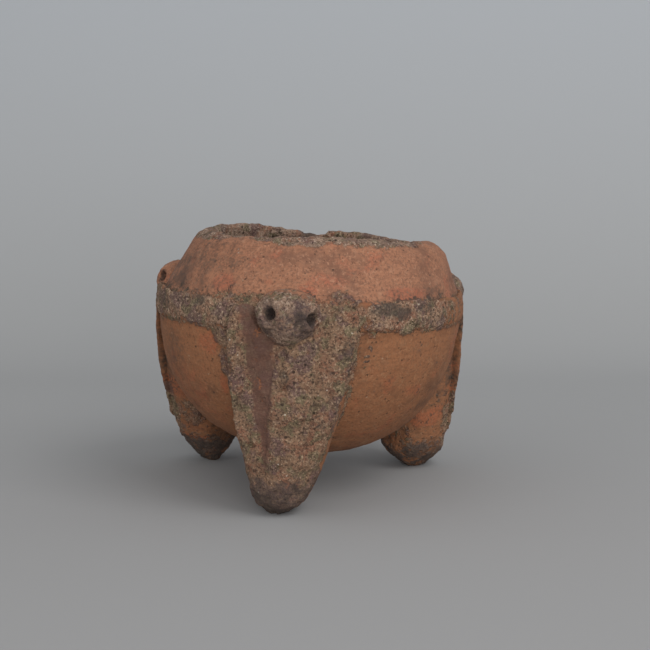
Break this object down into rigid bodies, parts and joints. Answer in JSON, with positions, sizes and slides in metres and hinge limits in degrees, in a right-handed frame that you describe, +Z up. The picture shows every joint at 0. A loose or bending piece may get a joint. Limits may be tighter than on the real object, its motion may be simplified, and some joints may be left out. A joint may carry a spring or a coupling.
{
  "type": "tripod jar",
  "caption": "Small hand-built clay jar with a worn open mouth, standing on broad ribbed legs that each carry an animal-head knob.",
  "frame": {"origin": "middle of the jar's outline on the surface that it stands on, under its feet", "axes": "+Z up from the feet to the mouth, -Y towards the front leg, +X to the right of the front leg"},
  "size_m": [0.1048, 0.109, 0.0853],
  "materials": {
    "bowl_clay": "matt fired clay, burnished brown-orange, worn",
    "slipped_clay": "matt orange-red slip, specked and rubbed",
    "coarse_clay": "rough sand-tempered clay, grey-brown, with pale grit",
    "painted_clay": "worn purple-brown paint over rough clay"
  },
  "bodies": {
    "root": {"bowl": "bowl_clay", "shoulder": "slipped_clay", "mouth_lip": "painted_clay", "leg_front": "coarse_clay", "effigy_head_front": "painted_clay", "leg_spine_front": "coarse_clay", "leg_rib_front_left": "coarse_clay", "leg_rib_front_right": "coarse_clay", "leg_right": "coarse_clay", "effigy_head_right": "painted_clay", "leg_spine_right": "coarse_clay", "leg_rib_right_left": "coarse_clay", "leg_rib_right_right": "coarse_clay", "leg_left": "coarse_clay", "effigy_head_left": "painted_clay", "leg_spine_left": "coarse_clay", "leg_rib_left_left": "coarse_clay", "leg_rib_left_right": "coarse_clay", "seam_band_front_right": "coarse_clay", "seam_band_back": "coarse_clay", "seam_band_front_left": "coarse_clay"}
  },
  "joints": []
}
